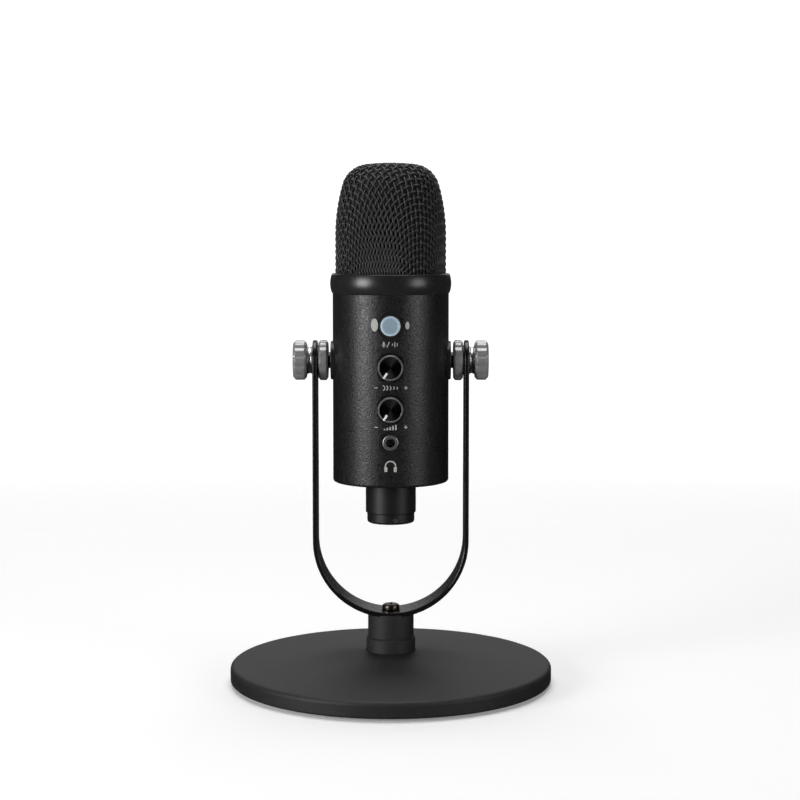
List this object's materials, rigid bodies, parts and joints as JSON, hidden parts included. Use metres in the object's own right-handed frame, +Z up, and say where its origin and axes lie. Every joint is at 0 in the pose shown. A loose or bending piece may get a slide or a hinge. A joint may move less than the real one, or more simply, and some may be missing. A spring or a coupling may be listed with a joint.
{
  "type": "desktop microphone",
  "caption": "Side-address desktop microphone with a domed mesh grille, front dials and mute button, in a U bracket on a round weighted base.",
  "frame": {"origin": "centre of the foot pad's underside, on the surface that the base stands on", "axes": "+Z up along the microphone's axis, -Y out of the front face with the controls, +X to the right when looking at the controls"},
  "size_m": [0.13, 0.13, 0.2092],
  "materials": {
    "cast_black": "matte",
    "pad_rubber": "matte",
    "brass": "satin",
    "fastener_steel": "satin",
    "stand_black": "satin",
    "bracket_black": "satin",
    "body_black": "matte",
    "tail_black": "satin",
    "collar_black": "gloss",
    "mesh_black": "satin",
    "foam": "matte",
    "inner_plastic": "matte",
    "diaphragm_gold": "gloss",
    "frame_metal": "satin",
    "board_green": "satin",
    "wheel_grey": "satin",
    "spacer_polished": "polished",
    "button_pale": "satin",
    "dial_dark": "satin"
  },
  "bodies": {
    "base": {"base_casting": "cast_black", "base_foot_pad": "pad_rubber", "base_stud": "brass", "stud_screw": "fastener_steel"},
    "stand_nut": {"swivel_nut": "stand_black"},
    "yoke": {"yoke": "bracket_black", "stand_post": "stand_black", "yoke_screw": "fastener_steel", "nut_retaining_ring": "fastener_steel"},
    "mute_button": {"mute_button": "button_pale", "mute_plunger": "inner_plastic"},
    "echo_knob": {"echo_knob": "dial_dark", "echo_shaft": "frame_metal"},
    "volume_knob": {"volume_knob": "dial_dark", "volume_shaft": "frame_metal"},
    "left_spacer": {"left_spacer": "spacer_polished"},
    "left_knob": {"left_thumb_knob": "wheel_grey", "left_thumb_stud": "fastener_steel"},
    "right_spacer": {"right_spacer": "spacer_polished"},
    "right_knob": {"right_thumb_knob": "wheel_grey", "right_thumb_stud": "fastener_steel"},
    "mic": {"capsule_ring": "brass", "capsule_backplate": "brass", "collar_set_screw": "fastener_steel", "chassis_screws": "fastener_steel", "board_screws": "fastener_steel", "tail_lock_nut": "fastener_steel", "usb_shell": "fastener_steel", "headphone_jack": "fastener_steel", "body_tube": "body_black", "bottom_cap": "body_black", "left_boss": "body_black", "right_boss": "body_black", "tail_sleeve": "tail_black", "connector_collar": "tail_black", "collar_ring": "collar_black", "grille_outer_mesh": "mesh_black", "grille_inner_mesh": "mesh_black", "foam_liner": "foam", "capsule_saddle": "inner_plastic", "usb_insert": "inner_plastic", "usb_tongue": "inner_plastic", "mute_bezel": "inner_plastic", "mute_switch": "inner_plastic", "echo_pot": "inner_plastic", "volume_pot": "inner_plastic", "left_washer": "inner_plastic", "right_washer": "inner_plastic", "capsule_diaphragms": "diaphragm_gold", "chassis_top_plate": "frame_metal", "chassis_rail_left": "frame_metal", "chassis_rail_right": "frame_metal", "main_board": "board_green", "usb_board": "board_green", "left_inner_wheel": "wheel_grey", "right_inner_wheel": "wheel_grey"}
  },
  "joints": [
    {"name": "lift_off", "type": "slide", "parent": "base", "child": "stand_nut", "axis": [0, 0, 1], "range_m": [0, 0.0315]},
    {"name": "bracket_swivel", "type": "hinge", "parent": "stand_nut", "child": "yoke", "pos_m": [0, 0, 0.0174], "axis": [0, 0, 1], "continuous": true},
    {"name": "mic_tilt", "type": "hinge", "parent": "yoke", "child": "mic", "pos_m": [0, 0, 0.1306], "axis": [1, 0, 0], "continuous": true},
    {"name": "mute_press", "type": "slide", "parent": "mic", "child": "mute_button", "axis": [0, 1, 0], "range_m": [0, 0.0008], "stiffness_N_per_m": 250, "springref_m": -0.0012},
    {"name": "echo_turn", "type": "hinge", "parent": "mic", "child": "echo_knob", "pos_m": [0, -0.024, 0.1293], "axis": [0, 1, 0], "range_deg": [0, 288]},
    {"name": "volume_turn", "type": "hinge", "parent": "mic", "child": "volume_knob", "pos_m": [0, -0.024, 0.1129], "axis": [0, 1, 0], "range_deg": [0, 288]},
    {"name": "left_screw_out", "type": "slide", "parent": "mic", "child": "left_spacer", "axis": [-1, 0, 0], "range_m": [0, 0.0016]},
    {"name": "left_screw_turn", "type": "hinge", "parent": "left_spacer", "child": "left_knob", "pos_m": [-0.035, 0, 0.1306], "axis": [-1, 0, 0], "range_deg": [0, 720]},
    {"name": "right_screw_out", "type": "slide", "parent": "mic", "child": "right_spacer", "axis": [1, 0, 0], "range_m": [0, 0.0016]},
    {"name": "right_screw_turn", "type": "hinge", "parent": "right_spacer", "child": "right_knob", "pos_m": [0.035, 0, 0.1306], "axis": [1, 0, 0], "range_deg": [0, 720]}
  ],
  "couplings": [
    {"joint": "left_screw_turn", "follows": "left_screw_out", "rad_per_m": 7854},
    {"joint": "right_screw_turn", "follows": "right_screw_out", "rad_per_m": 7854}
  ]
}
